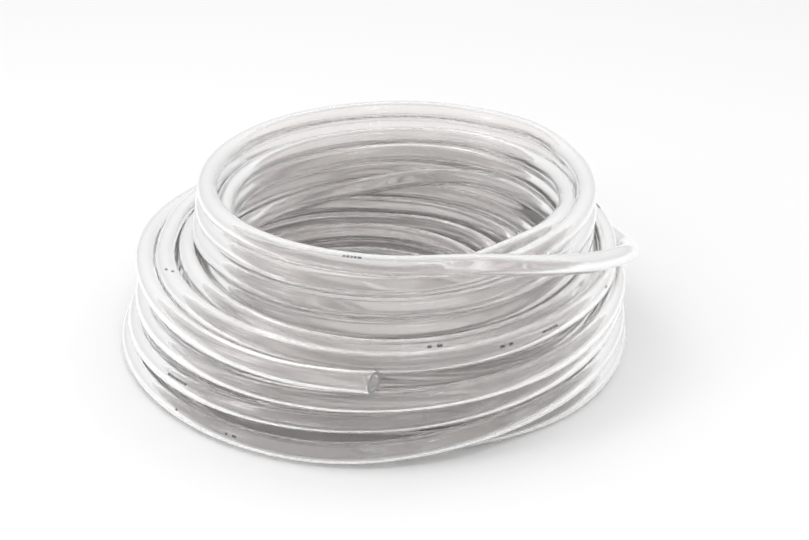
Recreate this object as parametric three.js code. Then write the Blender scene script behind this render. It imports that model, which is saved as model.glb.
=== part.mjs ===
import * as THREE from "three";

// Coil of clear polyurethane hose, lying flat. Millimetres, +Z up.
// +X is the side where a slack turn stands out, -Y the side of the cut end.

// Section of the hose
const hoseOuterDiameter = 12;
const hoseInnerDiameter = 8;

// Levels of the coil: a wide lower group and a narrower upper group
const levelCount = 9;
const lowerLevelCount = 5;
const levelPitch = 11.58;
const lowerTurnRadius = 153;
const lowerTopTurnRadius = 146;
const upperBottomTurnRadius = 124;
const upperTurnRadius = 118;

// Layers across the wall
const floorLayerPitch = 11;
const floorLayerCount = 5;
const upperLayerPitch = 9.6;
const innerLevelCount = 9;

// The turn that fills the shoulder between the two groups
const shoulderTurnRadius = 135;
const shoulderTurnHeight = 59;

// How far the top of the coil has slid from the middle of its base
const leanX = 14.4;
const leanY = 6.9;

// Flat that the weight presses under each turn on the floor
const floorFlatWidth = 5;

// Fineness of the rounds
const coilSegments = 44;
const arcSteps = 4;
const tubeSides = 10;

// Slack turn at the right, off the front of the top turn and back to the shoulder
const slackTurnRoute = [
  [48.2, -119.3, 98],
  [79.5, -107, 94],
  [107.5, -88.7, 88.5],
  [133.6, -65, 80],
  [154, -33.7, 71],
  [158.8, -13.8, 67],
  [158.6, 17.5, 65.2],
  [148.2, 55, 64.9],
  [129.5, 88.7, 64.8],
  [112.7, 108, 64.8],
];
const slackTurnSteps = 36;

// Last stretch of the hose up to its cut end, in the groove outside the lower group
const endRoute = [
  [-89.3, -123.5, 47.1],
  [-63.4, -139.3, 47.1],
  [-32.3, -150.6, 47.1],
  [-11, -154.6, 47.6],
  [6, -157.2, 49],
];
const endSteps = 16;

const hoseRadius = hoseOuterDiameter / 2;
const floorTurnHeight = hoseRadius;
const topTurnHeight = floorTurnHeight + levelPitch * (levelCount - 1);

function mix(from, to, share) {
  return from + (to - from) * share;
}

// Middle of the hose section in the outermost layer at a level
function outerTurn(level) {
  const height = floorTurnHeight + levelPitch * level;
  if (level < lowerLevelCount) {
    const share = level / (lowerLevelCount - 1);
    return { radius: mix(lowerTurnRadius, lowerTopTurnRadius, share), height };
  }
  const share = (level - lowerLevelCount) / (levelCount - 1 - lowerLevelCount);
  return { radius: mix(upperBottomTurnRadius, upperTurnRadius, share), height };
}

// Middle of the hose section in the innermost layer, from the floor to the top
function innerTurn(level) {
  const share = level / (innerLevelCount - 1);
  const floorRadius = lowerTurnRadius - floorLayerPitch * (floorLayerCount - 1);
  const topRadius = upperTurnRadius - upperLayerPitch;
  return {
    radius: mix(floorRadius, topRadius, share),
    height: mix(floorTurnHeight, topTurnHeight - levelPitch / 2, share),
  };
}

// Sections of the hose along the rim of the coil's wall, anticlockwise from the bore
function rimTurns() {
  const turns = [];
  for (let layer = floorLayerCount - 1; layer > 0; layer -= 1) {
    turns.push({ radius: lowerTurnRadius - floorLayerPitch * layer, height: floorTurnHeight });
  }
  for (let level = 0; level < levelCount; level += 1) {
    if (level === lowerLevelCount) {
      turns.push({ radius: shoulderTurnRadius, height: shoulderTurnHeight });
    }
    turns.push(outerTurn(level));
  }
  for (let level = innerLevelCount - 1; level > 0; level -= 1) {
    turns.push(innerTurn(level));
  }
  return turns;
}

// Bottom of the groove between two neighbouring turns, on the outer side of the rim
function grooveBetween(turn, next) {
  const across = next.radius - turn.radius;
  const up = next.height - turn.height;
  const distance = Math.hypot(across, up);
  const rise = Math.sqrt(Math.max(0, hoseRadius ** 2 - (distance / 2) ** 2));
  return {
    radius: (turn.radius + next.radius) / 2 + (up / distance) * rise,
    height: (turn.height + next.height) / 2 - (across / distance) * rise,
  };
}

// Closed profile of the coil's wall: a round for each turn on the rim
function wallProfile() {
  const turns = rimTurns();
  const count = turns.length;
  const grooves = turns.map((turn, index) => grooveBetween(turn, turns[(index + 1) % count]));
  const points = [];
  turns.forEach((turn, index) => {
    const start = grooves[(index + count - 1) % count];
    const end = grooves[index];
    const startAngle = Math.atan2(start.height - turn.height, start.radius - turn.radius);
    let sweep = Math.atan2(end.height - turn.height, end.radius - turn.radius) - startAngle;
    if (sweep < 0) {
      sweep += Math.PI * 2;
    }
    points.push(new THREE.Vector2(start.radius, start.height));
    const onFloor = turn.height === floorTurnHeight;
    let flatDone = false;
    for (let step = 1; step < arcSteps; step += 1) {
      const angle = startAngle + (sweep * step) / arcSteps;
      const nearFloor = Math.sin(angle) < -0.85;
      if (onFloor && nearFloor && !flatDone) {
        points.push(new THREE.Vector2(turn.radius - floorFlatWidth / 2, 0));
        points.push(new THREE.Vector2(turn.radius + floorFlatWidth / 2, 0));
        flatDone = true;
      } else if (!(onFloor && nearFloor)) {
        const radius = turn.radius + hoseRadius * Math.cos(angle);
        const height = turn.height + hoseRadius * Math.sin(angle);
        points.push(new THREE.Vector2(radius, height));
      }
    }
  });
  points.push(points[0].clone());
  return points;
}

// The coil leans: each height slides sideways in proportion
function lean(geometry) {
  const position = geometry.attributes.position;
  for (let index = 0; index < position.count; index += 1) {
    const share = (position.getZ(index) - floorTurnHeight) / (topTurnHeight - floorTurnHeight);
    const slide = Math.max(0, share);
    position.setX(index, position.getX(index) + leanX * slide);
    position.setY(index, position.getY(index) + leanY * slide);
  }
  position.needsUpdate = true;
  geometry.computeVertexNormals();
}

function circlePoints(radius) {
  const points = [];
  for (let side = 0; side < tubeSides; side += 1) {
    const angle = (Math.PI * 2 * side) / tubeSides;
    points.push(new THREE.Vector2(radius * Math.cos(angle), radius * Math.sin(angle)));
  }
  return points;
}

// Hollow hose along hand-chosen points
function hoseAlong(route, steps) {
  const section = new THREE.Shape(circlePoints(hoseRadius));
  section.holes.push(new THREE.Path(circlePoints(hoseInnerDiameter / 2).reverse()));
  const curve = new THREE.CatmullRomCurve3(route.map((point) => new THREE.Vector3(...point)));
  return new THREE.ExtrudeGeometry(section, {
    steps,
    bevelEnabled: false,
    extrudePath: curve,
  });
}

function clearPolyurethane(name, color, roughness) {
  const material = new THREE.MeshStandardMaterial({
    color,
    roughness,
    metalness: 0,
    transparent: true,
    opacity: 0.55,
  });
  material.name = name;
  return material;
}

const part = new THREE.Group();
part.name = "polyurethane_hose";

const coilGeometry = new THREE.LatheGeometry(wallProfile(), coilSegments);
coilGeometry.rotateX(Math.PI / 2);
lean(coilGeometry);
const coil = new THREE.Mesh(coilGeometry, clearPolyurethane("hose_coil", 0xa39b98, 0.12));
coil.name = "hose_coil";
part.add(coil);

const slackTurn = new THREE.Mesh(
  hoseAlong(slackTurnRoute, slackTurnSteps),
  clearPolyurethane("hose_slack_turn", 0xb3aca8, 0.1),
);
slackTurn.name = "hose_slack_turn";
part.add(slackTurn);

const cutEnd = new THREE.Mesh(
  hoseAlong(endRoute, endSteps),
  clearPolyurethane("hose_cut_end", 0xada5a1, 0.1),
);
cutEnd.name = "hose_cut_end";
part.add(cutEnd);

// The origin is the middle of the whole box, on the floor
const box = new THREE.Box3().setFromObject(part);
const middle = box.getCenter(new THREE.Vector3());
part.children.forEach((mesh) => mesh.geometry.translate(-middle.x, -middle.y, 0));

export default part;
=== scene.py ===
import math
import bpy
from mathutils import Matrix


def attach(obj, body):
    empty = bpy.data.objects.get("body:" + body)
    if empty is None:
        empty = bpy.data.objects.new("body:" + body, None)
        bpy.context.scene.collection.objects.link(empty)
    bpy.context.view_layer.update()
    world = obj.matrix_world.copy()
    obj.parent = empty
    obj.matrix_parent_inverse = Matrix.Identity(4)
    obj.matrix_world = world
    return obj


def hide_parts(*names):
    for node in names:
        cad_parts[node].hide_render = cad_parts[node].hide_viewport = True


bl_info = {
    "name": "Coiled polyurethane hose",
    "version": (1, 0, 0),
    "blender": (4, 5, 0),
    "location": "View3D > Sidebar > Hose coil",
    "description": "Builds a coil of clear polyurethane hose as it lies on a floor",
    "category": "Add Mesh",
}

import bpy
import numpy as np

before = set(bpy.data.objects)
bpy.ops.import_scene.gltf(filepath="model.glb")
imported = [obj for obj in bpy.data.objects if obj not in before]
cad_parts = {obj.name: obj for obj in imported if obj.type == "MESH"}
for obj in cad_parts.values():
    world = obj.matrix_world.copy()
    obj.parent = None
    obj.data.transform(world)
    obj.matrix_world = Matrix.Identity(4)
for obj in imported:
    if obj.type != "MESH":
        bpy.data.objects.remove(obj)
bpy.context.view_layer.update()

# Middle of the turns on the floor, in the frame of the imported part
COIL_MIDDLE = (-0.0032, 0.00234)

# The coil is one piece of hose, wound clockwise seen from above.
# A station is a count of turns from the front, the middle of that turn to the right and to
# the back of the coil's middle, its radius, and the height of the hose's middle.

# From the cut end at the front round the outside of the lower group, down to the floor
OUTER_LOWER_TURNS = (
    (0.065, -0.0010, -0.0040, 0.1430, 0.0530),
    (0.125, -0.0020, -0.0070, 0.1385, 0.0560),
    (0.250, -0.0020, -0.0080, 0.1385, 0.0640),
    (0.375, -0.0010, -0.0070, 0.1385, 0.0605),
    (0.500, 0.0000, -0.0040, 0.1400, 0.0590),
    (0.625, 0.0030, -0.0040, 0.1425, 0.0585),
    (0.750, 0.0050, -0.0080, 0.1440, 0.0555),
    (0.830, 0.0050, -0.0100, 0.1470, 0.0490),
    (0.910, 0.0030, -0.0050, 0.1495, 0.0420),
    (1.000, 0.0000, 0.0000, 0.1490, 0.0365),
    (1.125, 0.0000, 0.0000, 0.1455, 0.0360),
    (1.250, 0.0000, 0.0000, 0.1445, 0.0360),
    (1.500, 0.0000, 0.0000, 0.1460, 0.0380),
    (1.750, 0.0000, 0.0000, 0.1510, 0.0360),
    (1.875, 0.0000, 0.0000, 0.1525, 0.0310),
    (2.000, 0.0000, 0.0000, 0.1495, 0.0240),
    (2.125, 0.0000, 0.0000, 0.1500, 0.0215),
    (2.250, 0.0000, 0.0000, 0.1510, 0.0185),
    (2.500, 0.0000, 0.0000, 0.1505, 0.0210),
    (2.750, 0.0000, 0.0000, 0.1535, 0.0200),
    (2.875, 0.0000, 0.0000, 0.1550, 0.0180),
    (2.950, 0.0000, 0.0000, 0.1555, 0.0140),
    (3.030, 0.0000, 0.0000, 0.1545, 0.0065),
    (3.125, 0.0000, 0.0000, 0.1535, 0.0060),
    (3.250, 0.0000, 0.0000, 0.1560, 0.0060),
    (3.500, 0.0000, 0.0000, 0.1530, 0.0060),
    (3.750, 0.0000, 0.0000, 0.1560, 0.0060),
    (3.860, 0.0000, 0.0000, 0.1550, 0.0060),
)

# Inside the lower group, from the floor up to the slack turn at the right
INNER_LOWER_TURNS = (
    (3.940, 0.0000, 0.0000, 0.1460, 0.0060),
    (4.040, 0.0000, 0.0000, 0.1400, 0.0060),
    (4.250, 0.0000, 0.0000, 0.1410, 0.0060),
    (4.500, 0.0000, 0.0000, 0.1410, 0.0060),
    (4.780, 0.0000, 0.0000, 0.1410, 0.0070),
    (4.900, 0.0000, 0.0000, 0.1400, 0.0130),
    (5.000, 0.0000, 0.0000, 0.1390, 0.0180),
    (5.250, 0.0000, 0.0000, 0.1385, 0.0180),
    (5.500, 0.0000, 0.0000, 0.1390, 0.0185),
    (5.780, 0.0000, 0.0000, 0.1395, 0.0200),
    (6.000, 0.0000, 0.0000, 0.1380, 0.0300),
    (6.250, 0.0000, 0.0000, 0.1340, 0.0305),
    (6.500, 0.0000, 0.0000, 0.1350, 0.0315),
    (6.780, 0.0000, 0.0000, 0.1380, 0.0335),
    (7.000, 0.0000, 0.0000, 0.1365, 0.0430),
    (7.200, 0.0000, 0.0000, 0.1290, 0.0490),
    (7.350, 0.0000, 0.0000, 0.1330, 0.0520),
)

# Out from under the top of the lower group, round the slack turn at the right, to the top turn
SLACK_TURN = (
    (7.450, 0.0000, 0.0000, 0.1390, 0.0490),
    (7.550, 0.0000, 0.0000, 0.1475, 0.0460),
    (7.640, 0.0000, 0.0000, 0.1520, 0.0445),
    (7.690, 0.0000, 0.0000, 0.1545, 0.0445),
    (7.730, 0.0000, 0.0000, 0.1565, 0.0475),
    (7.760, 0.0000, 0.0000, 0.1570, 0.0550),
    (7.790, 0.0000, 0.0000, 0.1535, 0.0650),
    (7.830, 0.0000, 0.0000, 0.1410, 0.0770),
    (7.880, 0.0000, 0.0000, 0.1290, 0.0885),
    (7.930, 0.0000, 0.0000, 0.1210, 0.0955),
    (7.960, 0.0000, 0.0000, 0.1175, 0.0975),
)

# Down the outside of the upper group
OUTER_UPPER_TURNS = (
    (8.040, 0.0140, 0.0070, 0.1190, 0.0976),
    (8.250, 0.0144, 0.0069, 0.1180, 0.0976),
    (8.500, 0.0144, 0.0069, 0.1180, 0.0976),
    (8.750, 0.0144, 0.0069, 0.1180, 0.0955),
    (8.900, 0.0140, 0.0065, 0.1185, 0.0880),
    (9.000, 0.0135, 0.0065, 0.1195, 0.0856),
    (9.250, 0.0135, 0.0060, 0.1190, 0.0860),
    (9.500, 0.0130, 0.0060, 0.1190, 0.0860),
    (9.750, 0.0130, 0.0060, 0.1195, 0.0830),
    (10.000, 0.0120, 0.0050, 0.1210, 0.0740),
    (10.250, 0.0120, 0.0050, 0.1205, 0.0745),
    (10.500, 0.0120, 0.0050, 0.1205, 0.0740),
    (10.750, 0.0110, 0.0040, 0.1215, 0.0705),
    (11.000, 0.0100, 0.0030, 0.1220, 0.0620),
    (11.200, 0.0130, 0.0000, 0.1155, 0.0620),
    (11.500, 0.0130, 0.0000, 0.1170, 0.0625),
    (11.750, 0.0120, -0.0020, 0.1250, 0.0600),
)

# The two turns that lie on the shoulder, and the step back inside
SHOULDER_TURNS = (
    (12.000, 0.0120, -0.0100, 0.1210, 0.0555),
    (12.220, 0.0120, -0.0120, 0.1255, 0.0665),
    (12.500, 0.0110, -0.0100, 0.1280, 0.0660),
    (12.750, 0.0090, -0.0100, 0.1330, 0.0620),
    (13.000, 0.0060, -0.0120, 0.1305, 0.0565),
    (13.220, 0.0080, -0.0140, 0.1350, 0.0655),
    (13.500, 0.0090, -0.0120, 0.1340, 0.0690),
    (13.720, 0.0090, -0.0060, 0.1270, 0.0560),
    (13.860, 0.0060, -0.0030, 0.1240, 0.0500),
)

# Up the inside of the upper group, then down inside the front of the coil
INNER_UPPER_TURNS = (
    (14.000, 0.0040, 0.0000, 0.1260, 0.0470),
    (14.250, 0.0060, 0.0000, 0.1180, 0.0480),
    (14.500, 0.0080, 0.0000, 0.1200, 0.0500),
    (14.750, 0.0100, 0.0000, 0.1160, 0.0520),
    (15.000, 0.0120, 0.0040, 0.1120, 0.0565),
    (15.250, 0.0120, 0.0050, 0.1100, 0.0580),
    (15.500, 0.0130, 0.0050, 0.1100, 0.0600),
    (15.750, 0.0130, 0.0050, 0.1100, 0.0630),
    (16.000, 0.0130, 0.0060, 0.1100, 0.0690),
    (16.500, 0.0130, 0.0060, 0.1095, 0.0720),
    (17.000, 0.0140, 0.0060, 0.1090, 0.0800),
    (17.500, 0.0140, 0.0070, 0.1085, 0.0835),
    (17.750, 0.0144, 0.0070, 0.1085, 0.0870),
    (17.900, 0.0140, 0.0065, 0.1050, 0.0830),
    (18.000, 0.0120, 0.0060, 0.1000, 0.0720),
    (18.120, 0.0050, 0.0050, 0.1030, 0.0560),
)

# Inner turns that have slumped into the bore, lower towards the right, and the turns under
# them on the floor, to the inner end
SLUMPED_TURNS = (
    (18.250, -0.0020, 0.0040, 0.1160, 0.0440),
    (18.500, -0.0020, 0.0040, 0.1160, 0.0440),
    (18.750, -0.0020, 0.0040, 0.1160, 0.0440),
    (19.000, -0.0030, 0.0040, 0.1160, 0.0420),
    (19.250, -0.0080, 0.0040, 0.1130, 0.0330),
    (19.500, -0.0080, 0.0040, 0.1130, 0.0340),
    (19.750, -0.0080, 0.0040, 0.1130, 0.0340),
    (20.000, -0.0090, 0.0040, 0.1130, 0.0330),
    (20.250, -0.0140, 0.0040, 0.1070, 0.0210),
    (20.500, -0.0140, 0.0040, 0.1070, 0.0240),
    (20.750, -0.0140, 0.0040, 0.1070, 0.0250),
    (21.000, -0.0140, 0.0040, 0.1060, 0.0240),
    (21.250, -0.0140, 0.0030, 0.0970, 0.0170),
    (21.500, -0.0140, 0.0030, 0.0960, 0.0155),
    (21.750, -0.0140, 0.0030, 0.0960, 0.0155),
    (22.000, -0.0140, 0.0020, 0.0940, 0.0140),
    (22.250, -0.0140, 0.0000, 0.0870, 0.0060),
    (22.500, -0.0140, 0.0000, 0.0860, 0.0060),
    (22.750, -0.0140, 0.0000, 0.0860, 0.0060),
    (23.000, -0.0140, 0.0000, 0.0880, 0.0060),
    (23.250, -0.0140, 0.0010, 0.0980, 0.0060),
    (23.750, -0.0140, 0.0010, 0.0980, 0.0060),
    (24.000, -0.0140, 0.0010, 0.1000, 0.0060),
    (24.250, -0.0130, 0.0010, 0.1100, 0.0060),
    (24.750, -0.0130, 0.0010, 0.1100, 0.0060),
    (25.000, -0.0120, 0.0010, 0.1120, 0.0060),
    (25.250, -0.0100, 0.0000, 0.1210, 0.0060),
    (25.750, -0.0090, 0.0000, 0.1220, 0.0060),
    (25.950, -0.0080, 0.0000, 0.1240, 0.0060),
)

# The cut end at the front, on the shoulder of the lower group
CUT_END = (
    (-0.0035, 0.0000, 0.0000, 0.1538, 0.0532),
    (0.0250, 0.0000, 0.0000, 0.1515, 0.0528),
)

# Plain ink ticks along the hose: turns from the front, side of the hose in degrees up from the
# outside, and lengths in millimetres. In a group of up to SHORT_GROUP lengths every second one
# is left blank, and in a longer group all are dashes.
INK_TICKS = (
    (8.020, 62.0, (2.0, 1.2, 1.0, 1.6, 1.2)),
    (11.965, 40.0, (3.0, 1.4, 2.2)),
    (12.915, 32.0, (2.4, 1.2, 2.4)),
    (12.880, 30.0, (1.6, 1.2, 1.6, 1.2, 2.6)),
    (12.820, 25.0, (1.8,)),
    (13.190, 70.0, (1.6,)),
    (13.185, 96.0, (1.6,)),
    (2.115, 42.0, (2.0, 1.4, 1.2, 2.4, 1.2, 1.8, 2.6)),
    (3.075, 30.0, (2.6, 1.6, 1.4, 1.8)),
    (3.120, 30.0, (1.6,)),
    (12.700, 60.0, (2.2, 1.4, 2.2, 1.2, 2.8)),
)

# Layout of the ticks: the room between lengths, how far the two sides of the ink lie off the
# hose, and the rows of points in a dash each way
SHORT_GROUP = 4
BETWEEN_DASHES = 0.0007
TICK_LAYERS = (0.00002, 0.00007)
TICK_ROWS = 4

# How the turns settle on each other: rounds, how often and how far a turn looks for neighbours,
# and what share of a push and of the way home each round takes
SETTLE_ROUNDS = 120
SEARCH_EVERY = 4
SEARCH_DISTANCE_MM = 20.0
POINTS_APART = 8
BESIDE_SHARE = 0.75
CROWD_POWER = 0.7
PUSH_SHARE = 1.25
HOME_SHARE = 0.01
KINK_LEAST = 0.00008
KINK_SHARE = 0.25

# Clear polyurethane
CLEARNESS = 0.93
REFRACTION = 1.28
DRAW_LINES_ALONG = 1.6
DRAW_LINES_ROUND = 20.0
DRAW_LINE_STRENGTH = 0.25
DRAW_LINE_DEPTH = 0.0002
TINT_WAVES_ALONG = 1.3

# Camera, floor and light
CAMERA_LENS = 50.6
CAMERA_SENSOR = 36.0
CAMERA_PLACE = (0.0157, -0.6361, 0.3721)
CAMERA_TILT = math.radians(62.3)
FLOOR_REACH = 4.0
ROOM_HEIGHTS = (-0.1, 1.0)
ROOM_SHADES = (0.74, 1.06)
COIL_TARGET = (0.0, 0.0, 0.05)

# Name, place, width and height, and share of the softbox power
SOFTBOXES = (
    ("softbox_over", (-0.5, 0.2, 1.2), (0.7, 0.5), 1.0),
    ("softbox_front", (0.25, -0.7, 1.2), (0.28, 0.16), 2.0),
    ("softbox_left", (-1.0, -0.5, 0.6), (0.25, 0.35), 1.0),
)


class HoseSizes(bpy.types.PropertyGroup):
    """Sizes of the hose"""

    outer_diameter: bpy.props.FloatProperty(
        name="Outer diameter", description="Outside of the hose", default=0.012, unit="LENGTH", precision=4)
    bore_diameter: bpy.props.FloatProperty(
        name="Bore", description="Inside of the hose", default=0.008, unit="LENGTH", precision=4)
    cut_slant: bpy.props.FloatProperty(
        name="Cut slant", description="How far the knife strayed from a square cut at the outer end",
        default=math.radians(22.0), unit="ROTATION")
    tick_width: bpy.props.FloatProperty(
        name="Tick width", description="Width of the ink ticks round the hose", default=0.0013,
        unit="LENGTH", precision=4)
    lay_gap: bpy.props.FloatProperty(
        name="Lay gap", description="Room between turns that lie on each other", default=0.00015,
        unit="LENGTH", precision=5)
    ring_step: bpy.props.FloatProperty(
        name="Ring step", description="Length of hose between two rings of the mesh", default=0.008,
        unit="LENGTH", precision=4)
    ring_sides: bpy.props.IntProperty(
        name="Ring sides", description="Sides of each ring of the mesh", default=18, min=8, max=24)


class HoseFinish(bpy.types.PropertyGroup):
    """Colours and gloss of the hose"""

    clear_colour: bpy.props.FloatVectorProperty(
        name="Clear colour", description="Tint of light that passes through the hose", subtype="COLOR",
        size=4, default=(0.985, 0.955, 0.95, 1.0), min=0.0, max=1.0)
    green_colour: bpy.props.FloatVectorProperty(
        name="Green colour", description="Tint of the slightly greener stretches", subtype="COLOR",
        size=4, default=(0.96, 0.965, 0.955, 1.0), min=0.0, max=1.0)
    cut_colour: bpy.props.FloatVectorProperty(
        name="Cut colour", description="Colour of the sawn faces at the ends", subtype="COLOR",
        size=4, default=(0.2, 0.21, 0.21, 1.0), min=0.0, max=1.0)
    ink_colour: bpy.props.FloatVectorProperty(
        name="Ink colour", description="Colour of the plain length ticks", subtype="COLOR",
        size=4, default=(0.03, 0.03, 0.035, 1.0), min=0.0, max=1.0)
    roughness: bpy.props.FloatProperty(
        name="Roughness", description="Haze of the drawn surface", default=0.04, min=0.0, max=1.0)


class StageSettings(bpy.types.PropertyGroup):
    """Floor and studio light"""

    floor_colour: bpy.props.FloatVectorProperty(
        name="Floor colour", description="Colour of the plain floor", subtype="COLOR",
        size=4, default=(0.93, 0.93, 0.93, 1.0), min=0.0, max=1.0)
    room_strength: bpy.props.FloatProperty(
        name="Room light", description="Strength of the light from all round", default=0.97, min=0.0)
    softbox_power: bpy.props.FloatProperty(
        name="Softbox power", description="Power of the large soft light overhead", default=1.2,
        unit="POWER")


def slopes_without_overshoot(turn, value):
    """Slope of a smooth curve at each station, flat wherever the values turn back"""
    span = np.diff(turn)[:, None]
    rise = np.diff(value, axis=0) / span
    slope = np.zeros_like(value)
    slope[0], slope[-1] = rise[0], rise[-1]
    before, after = 2 * span[1:] + span[:-1], span[1:] + 2 * span[:-1]
    same_way = rise[:-1] * rise[1:] > 0
    first = np.where(same_way, rise[:-1], 1.0)
    second = np.where(same_way, rise[1:], 1.0)
    slope[1:-1] = np.where(same_way, (before + after) / (before / first + after / second), 0.0)
    return slope


def wound_path(stations, points_per_turn=180):
    """Points along the hose through the stations"""
    table = np.array(stations, dtype=float)
    turn, value = table[:, 0], table[:, 1:]
    slope = slopes_without_overshoot(turn, value)
    count = int((turn[-1] - turn[0]) * points_per_turn) + 1
    at = np.linspace(turn[0], turn[-1], count)
    index = np.clip(np.searchsorted(turn, at, side="right") - 1, 0, len(turn) - 2)
    span = (turn[index + 1] - turn[index])[:, None]
    share = (at - turn[index])[:, None] / span
    place = ((2 * share**3 - 3 * share**2 + 1) * value[index]
             + (share**3 - 2 * share**2 + share) * span * slope[index]
             + (3 * share**2 - 2 * share**3) * value[index + 1]
             + (share**3 - share**2) * span * slope[index + 1])
    angle = 2 * math.pi * at
    x = COIL_MIDDLE[0] + place[:, 0] - place[:, 2] * np.sin(angle)
    y = COIL_MIDDLE[1] + place[:, 1] - place[:, 2] * np.cos(angle)
    return np.stack([x, y, place[:, 3]], axis=1), at


def evenly_spaced(points, turns, step):
    """The same route with its points one step of hose apart, and the turn of each"""
    lengths = np.linalg.norm(np.diff(points, axis=0), axis=1)
    along = np.concatenate([[0.0], np.cumsum(lengths)])
    count = max(2, int(round(along[-1] / step)) + 1)
    at = np.linspace(0.0, along[-1], count)
    spaced = np.stack([np.interp(at, along, points[:, axis]) for axis in range(3)], axis=1)
    return spaced, np.interp(at, along, turns)


def smoothed(values, times):
    """Each value drawn towards its neighbours"""
    for _ in range(times):
        inner = 0.25 * values[:-2] + 0.5 * values[1:-1] + 0.25 * values[2:]
        values = np.concatenate([values[:1], inner, values[-1:]])
    return values


def directions(points):
    """Direction of the hose at each point"""
    along = np.gradient(points, axis=0)
    return along / np.linalg.norm(along, axis=1, keepdims=True)


def settled(points, sizes):
    """Let the turns press each other apart until each lies on its neighbours and on the floor"""
    gap = sizes.outer_diameter + sizes.lay_gap
    step = sizes.ring_step
    home = points.copy()
    count = len(points)
    first = second = None
    for number in range(SETTLE_ROUNDS):
        along = directions(points)
        if number % SEARCH_EVERY == 0:
            coarse = (points * 1000).astype(np.float32)
            square = (coarse * coarse).sum(axis=1)
            apart = square[:, None] + square[None, :] - 2 * coarse @ coarse.T
            first, second = np.nonzero(np.triu(apart < SEARCH_DISTANCE_MM**2, POINTS_APART))
        between = points[second] - points[first]
        slide = (between * along[first]).sum(axis=1)
        beside = np.abs(slide) < BESIDE_SHARE * step
        one, two = first[beside], second[beside]
        across = between[beside] - slide[beside][:, None] * along[one]
        distance = np.linalg.norm(across, axis=1)
        tight = distance < gap
        one, two, across, distance = one[tight], two[tight], across[tight], distance[tight]
        push = across / np.maximum(distance, 1e-9)[:, None] * ((gap - distance) * 0.5)[:, None]
        move = np.zeros_like(points)
        touches = np.zeros(count)
        np.add.at(move, one, -push)
        np.add.at(move, two, push)
        np.add.at(touches, one, 1)
        np.add.at(touches, two, 1)
        move /= np.maximum(touches, 1)[:, None] ** CROWD_POWER
        points = points + smoothed(move, 3) * PUSH_SHARE + HOME_SHARE * (home - points)
        bend = smoothed(points, 1) - points
        kinked = np.linalg.norm(bend, axis=1, keepdims=True) > KINK_LEAST
        points = points + KINK_SHARE * bend * kinked
        points[:, 2] = np.maximum(points[:, 2], sizes.outer_diameter / 2)
    return points


def hose_path(sizes):
    """Middle of the hose from the cut end to the inner end, and the turn of each point"""
    stations = (CUT_END + OUTER_LOWER_TURNS + INNER_LOWER_TURNS + SLACK_TURN
                + OUTER_UPPER_TURNS + SHOULDER_TURNS + INNER_UPPER_TURNS + SLUMPED_TURNS)
    points, turns = evenly_spaced(*wound_path(stations), sizes.ring_step)
    return settled(points, sizes), turns


def cross_directions(points):
    """At each point, the direction out of the coil and the one at right angles to it"""
    along = directions(points)
    outward = np.cross(np.array([0.0, 0.0, 1.0]), along)
    outward /= np.linalg.norm(outward, axis=1, keepdims=True)
    upward = np.cross(along, outward)
    return along, outward, upward


def ring_points(points, radius, sides):
    """Rings round the route"""
    _, outward, upward = cross_directions(points)
    angle = 2 * math.pi * np.arange(sides) / sides
    wall = (np.cos(angle)[None, :, None] * outward[:, None, :]
            + np.sin(angle)[None, :, None] * upward[:, None, :])
    return points[:, None, :] + radius * wall


def tube_faces(rings, sides, start, inward):
    """Four-sided faces between neighbouring rings"""
    ring = np.arange(rings - 1)[:, None] * sides
    side = np.arange(sides)[None, :]
    after = (side + 1) % sides
    a, b = ring + side + start, ring + after + start
    c, d = b + sides, a + sides
    order = (a, b, c, d) if inward else (a, d, c, b)
    return np.stack(order, axis=-1).reshape(-1, 4)


def hose_mesh(points, sizes):
    """One hollow hose with sawn ends"""
    sides = sizes.ring_sides
    rings = len(points)
    along, outward, _ = cross_directions(points)
    walls = []
    for diameter in (sizes.outer_diameter, sizes.bore_diameter):
        wall = ring_points(points, diameter / 2, sides)
        side_shift = (wall[0] - points[0]) @ outward[0] * math.tan(sizes.cut_slant)
        wall[0] += side_shift[:, None] * along[0]
        walls.append(wall.reshape(-1, 3))
    verts = np.concatenate(walls)
    half = rings * sides
    walls = np.concatenate([tube_faces(rings, sides, 0, False), tube_faces(rings, sides, half, True)])
    side = np.arange(sides)
    after = (side + 1) % sides
    near = np.stack([side, after, half + after, half + side], axis=-1)
    last = half - sides
    far = np.stack([last + side, half + last + side, half + last + after, last + after], axis=-1)
    faces = np.concatenate([walls, near, far])

    mesh = bpy.data.meshes.new("clear_hose")
    mesh.vertices.add(len(verts))
    mesh.vertices.foreach_set("co", verts.astype(np.float32).ravel())
    mesh.loops.add(faces.size)
    mesh.loops.foreach_set("vertex_index", faces.astype(np.int32).ravel())
    mesh.polygons.add(len(faces))
    mesh.polygons.foreach_set("loop_start", np.arange(0, faces.size, 4, dtype=np.int32))
    mesh.polygons.foreach_set("loop_total", np.full(len(faces), 4, dtype=np.int32))
    mesh.update(calc_edges=True)
    mesh.validate()

    slot = np.zeros(len(faces), dtype=np.int32)
    slot[len(walls):] = 1
    mesh.polygons.foreach_set("material_index", slot)
    smooth = np.ones(len(faces), dtype=bool)
    smooth[len(walls):] = False
    mesh.polygons.foreach_set("use_smooth", smooth)

    steps = np.linalg.norm(np.diff(points, axis=0), axis=1)
    length = np.concatenate([[0.0], np.cumsum(steps)])
    ring_of = (faces % half) // sides
    side_of = faces % sides
    around = side_of / sides
    wraps = (side_of.max(axis=1) - side_of.min(axis=1) > sides / 2)[:, None] & (side_of == 0)
    around = np.where(wraps, 1.0, around)
    uv = np.stack([length[ring_of], around], axis=-1)
    layer = mesh.uv_layers.new(name="along_and_round")
    layer.data.foreach_set("uv", uv.astype(np.float32).ravel())
    return mesh


def new_material(name):
    material = bpy.data.materials.new(name)
    material.use_nodes = True
    return material, material.node_tree.nodes, material.node_tree.links


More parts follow.
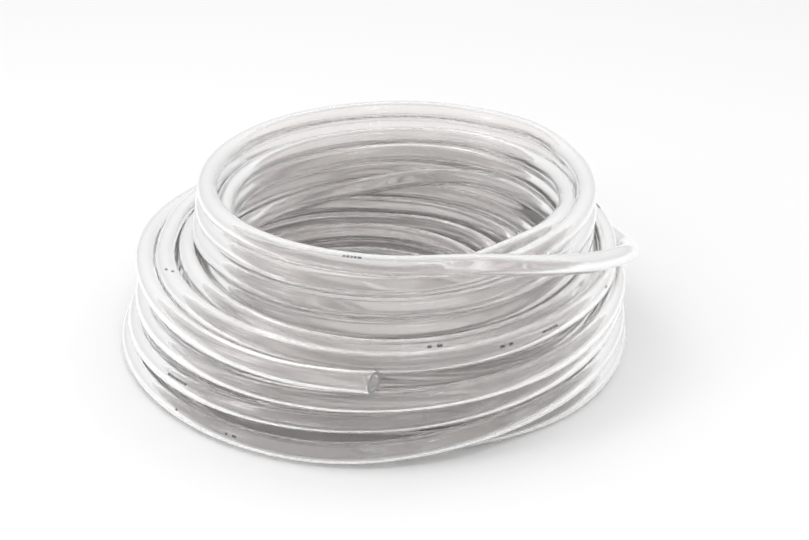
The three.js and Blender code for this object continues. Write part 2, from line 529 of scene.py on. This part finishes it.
def wrapped_round(nodes, links, place, along_scale, round_scale):
    """Coordinates that run on without a seam round the hose"""
    split = nodes.new("ShaderNodeSeparateXYZ")
    links.new(place.outputs["UV"], split.inputs[0])
    turn = nodes.new("ShaderNodeMath")
    turn.operation = "MULTIPLY"
    turn.inputs[1].default_value = 2 * math.pi
    links.new(split.outputs["Y"], turn.inputs[0])
    join = nodes.new("ShaderNodeCombineXYZ")
    stretch = nodes.new("ShaderNodeMath")
    stretch.operation = "MULTIPLY"
    stretch.inputs[1].default_value = along_scale
    links.new(split.outputs["X"], stretch.inputs[0])
    links.new(stretch.outputs[0], join.inputs["X"])
    for axis, operation in (("Y", "COSINE"), ("Z", "SINE")):
        wave = nodes.new("ShaderNodeMath")
        wave.operation = operation
        links.new(turn.outputs[0], wave.inputs[0])
        size = nodes.new("ShaderNodeMath")
        size.operation = "MULTIPLY"
        size.inputs[1].default_value = round_scale
        links.new(wave.outputs[0], size.inputs[0])
        links.new(size.outputs[0], join.inputs[axis])
    return join.outputs[0]


def clear_polyurethane(finish):
    """Clear extruded plastic with fine draw lines along the hose"""
    material, nodes, links = new_material("clear_polyurethane")
    shader = nodes["Principled BSDF"]
    shader.inputs["Transmission Weight"].default_value = CLEARNESS
    shader.inputs["IOR"].default_value = REFRACTION

    place = nodes.new("ShaderNodeUVMap")
    place.uv_map = "along_and_round"
    lines = nodes.new("ShaderNodeTexNoise")
    lines.inputs["Scale"].default_value = 1.0
    lines.inputs["Detail"].default_value = 4.0
    around = wrapped_round(nodes, links, place, DRAW_LINES_ALONG, DRAW_LINES_ROUND)
    links.new(around, lines.inputs["Vector"])

    haze = nodes.new("ShaderNodeMapRange")
    haze.inputs["To Min"].default_value = finish.roughness * 0.5
    haze.inputs["To Max"].default_value = finish.roughness * 1.8
    links.new(lines.outputs["Fac"], haze.inputs["Value"])
    links.new(haze.outputs["Result"], shader.inputs["Roughness"])

    waves = nodes.new("ShaderNodeMapping")
    waves.inputs["Scale"].default_value = (TINT_WAVES_ALONG, 1.0, 1.0)
    links.new(place.outputs["UV"], waves.inputs["Vector"])
    stretches = nodes.new("ShaderNodeTexNoise")
    stretches.inputs["Scale"].default_value = 1.0
    stretches.inputs["Detail"].default_value = 1.0
    links.new(waves.outputs["Vector"], stretches.inputs["Vector"])
    tint = nodes.new("ShaderNodeMix")
    tint.data_type = "RGBA"
    tint.inputs[6].default_value = finish.clear_colour
    tint.inputs[7].default_value = finish.green_colour
    links.new(stretches.outputs["Fac"], tint.inputs[0])
    links.new(tint.outputs[2], shader.inputs["Base Color"])

    bump = nodes.new("ShaderNodeBump")
    bump.inputs["Strength"].default_value = DRAW_LINE_STRENGTH
    bump.inputs["Distance"].default_value = DRAW_LINE_DEPTH
    links.new(lines.outputs["Fac"], bump.inputs["Height"])
    links.new(bump.outputs["Normal"], shader.inputs["Normal"])
    return material


def sawn_face(finish):
    """Dull face left by the blade"""
    material, nodes, links = new_material("sawn_face")
    shader = nodes["Principled BSDF"]
    shader.inputs["Roughness"].default_value = 0.55
    place = nodes.new("ShaderNodeTexCoord")
    marks = nodes.new("ShaderNodeTexNoise")
    marks.inputs["Scale"].default_value = 900.0
    marks.inputs["Detail"].default_value = 2.0
    links.new(place.outputs["Object"], marks.inputs["Vector"])
    shades = nodes.new("ShaderNodeMix")
    shades.data_type = "RGBA"
    dark = finish.cut_colour
    shades.inputs[6].default_value = dark
    shades.inputs[7].default_value = (dark[0] * 1.8, dark[1] * 1.8, dark[2] * 1.8, 1.0)
    links.new(marks.outputs["Fac"], shades.inputs[0])
    links.new(shades.outputs[2], shader.inputs["Base Color"])
    return material


def tick_ink(finish):
    """Worn black ink"""
    material, nodes, links = new_material("tick_ink")
    shader = nodes["Principled BSDF"]
    shader.inputs["Roughness"].default_value = 0.5
    place = nodes.new("ShaderNodeTexCoord")
    wear = nodes.new("ShaderNodeTexNoise")
    wear.inputs["Scale"].default_value = 2500.0
    links.new(place.outputs["Object"], wear.inputs["Vector"])
    shades = nodes.new("ShaderNodeMix")
    shades.data_type = "RGBA"
    ink = finish.ink_colour
    shades.inputs[6].default_value = ink
    shades.inputs[7].default_value = (ink[0] + 0.12, ink[1] + 0.12, ink[2] + 0.12, 1.0)
    links.new(wear.outputs["Fac"], shades.inputs[0])
    links.new(shades.outputs[2], shader.inputs["Base Color"])
    return material


def value_at(cut, length, values):
    """Value between the points of the route at a length of hose"""
    return np.array([np.interp(cut, length, values[:, axis]) for axis in range(3)])


def tick_mesh(points, turns, sizes):
    """Thin dashes wrapped onto the outside of the hose"""
    _, outward, upward = cross_directions(points)
    steps = np.linalg.norm(np.diff(points, axis=0), axis=1)
    length = np.concatenate([[0.0], np.cumsum(steps)])
    layers = [sizes.outer_diameter / 2 + lift for lift in TICK_LAYERS]
    half = sizes.tick_width / sizes.outer_diameter
    verts, faces = [], []
    for turn, degrees, dashes in INK_TICKS:
        start = float(np.interp(turn, turns, length))
        for number, dash in enumerate(dashes):
            if number % 2 == 0 or len(dashes) > SHORT_GROUP:
                cuts = np.linspace(start, start + dash / 1000, TICK_ROWS)
                for radius in layers:
                    for cut in cuts:
                        middle = value_at(cut, length, points)
                        out = value_at(cut, length, outward)
                        up = value_at(cut, length, upward)
                        for side in (-1.0, -1 / 3, 1 / 3, 1.0):
                            angle = math.radians(degrees) + side * half
                            away = math.cos(angle) * out + math.sin(angle) * up
                            verts.append(middle + radius * away)
                faces += slab_faces(len(verts) - 2 * TICK_ROWS**2)
            start += dash / 1000 + BETWEEN_DASHES
    mesh = bpy.data.meshes.new("ink_ticks")
    mesh.from_pydata([tuple(vert) for vert in verts], [], faces)
    return mesh


def slab_faces(base):
    """Faces of one closed dash of two layers of four by four points"""
    faces = []
    row_step = TICK_ROWS
    layer_step = TICK_ROWS**2
    for row in range(TICK_ROWS - 1):
        for column in range(TICK_ROWS - 1):
            low = base + row * row_step + column
            high = low + layer_step
            faces.append((low, low + row_step, low + row_step + 1, low + 1))
            faces.append((high, high + 1, high + row_step + 1, high + row_step))
    rim = [0, 1, 2, 3, 7, 11, 15, 14, 13, 12, 8, 4]
    for number, a in enumerate(rim):
        b = rim[(number + 1) % len(rim)]
        faces.append((base + a, base + b, base + b + layer_step, base + a + layer_step))
    return faces


class HOSE_OT_ink_ticks(bpy.types.Operator):
    """Print the plain ink ticks on the hose"""

    bl_idname = "hose_coil.ink_ticks"
    bl_label = "Ink ticks"

    def execute(self, context):
        sizes = context.scene.hose_sizes
        points, turns = hose_path(sizes)
        mesh = tick_mesh(points, turns, sizes)
        mesh.materials.append(tick_ink(context.scene.hose_finish))
        ticks = bpy.data.objects.new("ink_ticks", mesh)
        context.scene.collection.objects.link(ticks)
        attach(ticks, "root")
        return {"FINISHED"}


class HOSE_OT_clear_hose(bpy.types.Operator):
    """Lay the clear hose in its coil"""

    bl_idname = "hose_coil.clear_hose"
    bl_label = "Clear hose"

    def execute(self, context):
        sizes = context.scene.hose_sizes
        finish = context.scene.hose_finish
        points, _ = hose_path(sizes)
        mesh = hose_mesh(points, sizes)
        mesh.materials.append(clear_polyurethane(finish))
        mesh.materials.append(sawn_face(finish))
        hose = bpy.data.objects.new("clear_hose", mesh)
        context.scene.collection.objects.link(hose)
        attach(hose, "root")
        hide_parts("hose_coil", "hose_slack_turn", "hose_cut_end")
        return {"FINISHED"}


def aimed(obj, target):
    """Turn a lamp towards a point"""
    place = np.array(obj.location)
    away = place - np.array(target)
    away /= np.linalg.norm(away)
    obj.rotation_euler = (math.acos(away[2]), 0.0, math.atan2(away[1], away[0]) + math.pi / 2)


def softbox(scene, name, place, size, power):
    lamp = bpy.data.lights.new(name, "AREA")
    lamp.shape = "RECTANGLE"
    lamp.size, lamp.size_y = size
    lamp.energy = power
    obj = bpy.data.objects.new(name, lamp)
    obj.location = place
    aimed(obj, COIL_TARGET)
    scene.collection.objects.link(obj)


class HOSE_OT_stage(bpy.types.Operator):
    """Set up the camera, the floor and the soft light"""

    bl_idname = "hose_coil.stage"
    bl_label = "Stage"

    def execute(self, context):
        scene = context.scene
        stage = scene.hose_stage
        view = bpy.data.cameras.new("view")
        view.lens = CAMERA_LENS
        view.sensor_width = CAMERA_SENSOR
        view.sensor_fit = "HORIZONTAL"
        camera = bpy.data.objects.new("view", view)
        camera.location = CAMERA_PLACE
        camera.rotation_euler = (CAMERA_TILT, 0.0, 0.0)
        scene.collection.objects.link(camera)
        scene.camera = camera

        mesh = bpy.data.meshes.new("floor")
        side = FLOOR_REACH
        corners = [(-side, -side, 0), (side, -side, 0), (side, side, 0), (-side, side, 0)]
        mesh.from_pydata(corners, [], [(0, 1, 2, 3)])
        material, nodes, _ = new_material("pale_floor")
        shader = nodes["Principled BSDF"]
        shader.inputs["Base Color"].default_value = stage.floor_colour
        shader.inputs["Roughness"].default_value = 0.9
        mesh.materials.append(material)
        floor = bpy.data.objects.new("floor", mesh)
        scene.collection.objects.link(floor)

        world = bpy.data.worlds.new("soft_room")
        world.use_nodes = True
        nodes, links = world.node_tree.nodes, world.node_tree.links
        back = nodes["Background"]
        back.inputs["Strength"].default_value = stage.room_strength
        place = nodes.new("ShaderNodeTexCoord")
        split = nodes.new("ShaderNodeSeparateXYZ")
        links.new(place.outputs["Generated"], split.inputs[0])
        shade = nodes.new("ShaderNodeMapRange")
        shade.inputs["From Min"].default_value = ROOM_HEIGHTS[0]
        shade.inputs["From Max"].default_value = ROOM_HEIGHTS[1]
        shade.inputs["To Min"].default_value = ROOM_SHADES[0]
        shade.inputs["To Max"].default_value = ROOM_SHADES[1]
        links.new(split.outputs["Z"], shade.inputs["Value"])
        links.new(shade.outputs["Result"], back.inputs["Color"])
        scene.world = world

        for name, place, size, share in SOFTBOXES:
            softbox(scene, name, place, size, stage.softbox_power * share)
        scene.view_settings.view_transform = "Standard"
        scene.cycles.max_bounces = 48
        scene.cycles.transmission_bounces = 48
        scene.cycles.transparent_max_bounces = 16
        scene.cycles.diffuse_bounces = 4
        scene.cycles.glossy_bounces = 12
        return {"FINISHED"}


class HOSE_PT_coil(bpy.types.Panel):
    """Steps that build the coil of hose"""

    bl_idname = "HOSE_PT_coil"
    bl_label = "Hose coil"
    bl_space_type = "VIEW_3D"
    bl_region_type = "UI"
    bl_category = "Hose coil"

    def draw(self, context):
        layout = self.layout
        for group in (context.scene.hose_sizes, context.scene.hose_finish, context.scene.hose_stage):
            for name in group.__annotations__:
                layout.prop(group, name)
        layout.operator("hose_coil.stage")
        layout.operator("hose_coil.clear_hose")
        layout.operator("hose_coil.ink_ticks")


CLASSES = (HoseSizes, HoseFinish, StageSettings, HOSE_OT_stage, HOSE_OT_clear_hose,
           HOSE_OT_ink_ticks, HOSE_PT_coil)


def register():
    for cls in CLASSES:
        bpy.utils.register_class(cls)
    bpy.types.Scene.hose_sizes = bpy.props.PointerProperty(type=HoseSizes)
    bpy.types.Scene.hose_finish = bpy.props.PointerProperty(type=HoseFinish)
    bpy.types.Scene.hose_stage = bpy.props.PointerProperty(type=StageSettings)


def unregister():
    del bpy.types.Scene.hose_stage
    del bpy.types.Scene.hose_finish
    del bpy.types.Scene.hose_sizes
    for cls in reversed(CLASSES):
        bpy.utils.unregister_class(cls)


def main():
    register()
    bpy.ops.hose_coil.stage()
    bpy.ops.hose_coil.clear_hose()
    bpy.ops.hose_coil.ink_ticks()


if __name__ == "__main__":
    main()
